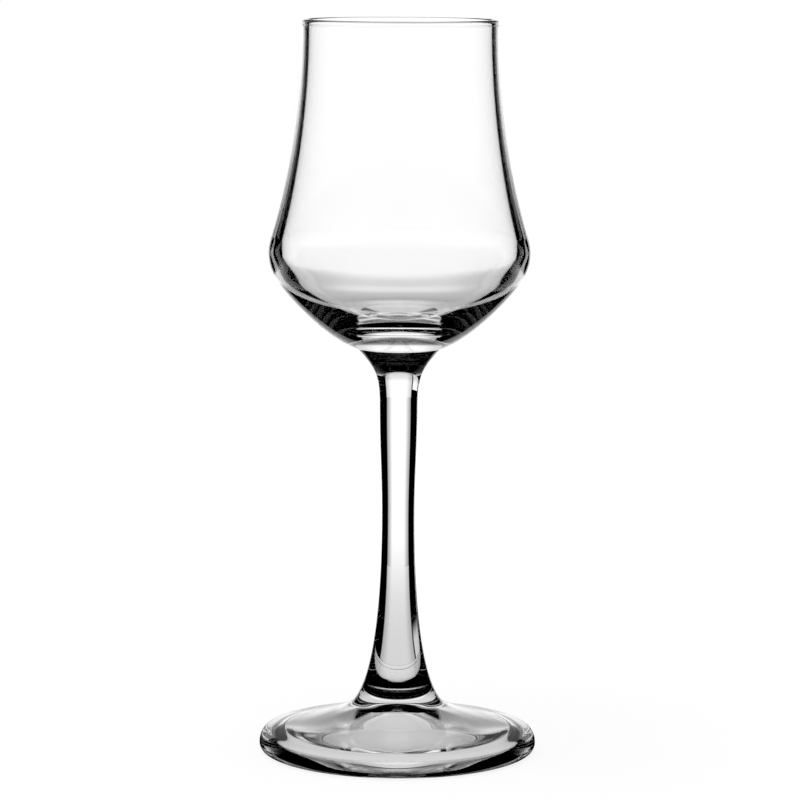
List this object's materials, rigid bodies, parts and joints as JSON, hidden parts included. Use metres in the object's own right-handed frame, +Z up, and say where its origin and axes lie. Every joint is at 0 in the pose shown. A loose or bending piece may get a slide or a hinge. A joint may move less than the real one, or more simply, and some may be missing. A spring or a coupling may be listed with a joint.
{
  "type": "grappa glass",
  "caption": "Stemmed grappa glass in clear glass: narrow chimney over a low round belly, slim stem flared at both ends, and a round hollow-bottomed foot.",
  "frame": {"origin": "centre of the foot on the table, under the axis of the glass", "axes": "+Z up along the turning axis, from the foot to the rim; X and Y are free because the glass is round"},
  "size_m": [0.0642, 0.0642, 0.1692],
  "materials": {
    "bowl_glass": "clear, blown and fire polished",
    "stem_glass": "clear, drawn and fire polished",
    "foot_glass": "clear, pressed and fire polished"
  },
  "bodies": {
    "root": {"bowl": "bowl_glass", "stem": "stem_glass", "foot": "foot_glass"}
  },
  "joints": []
}
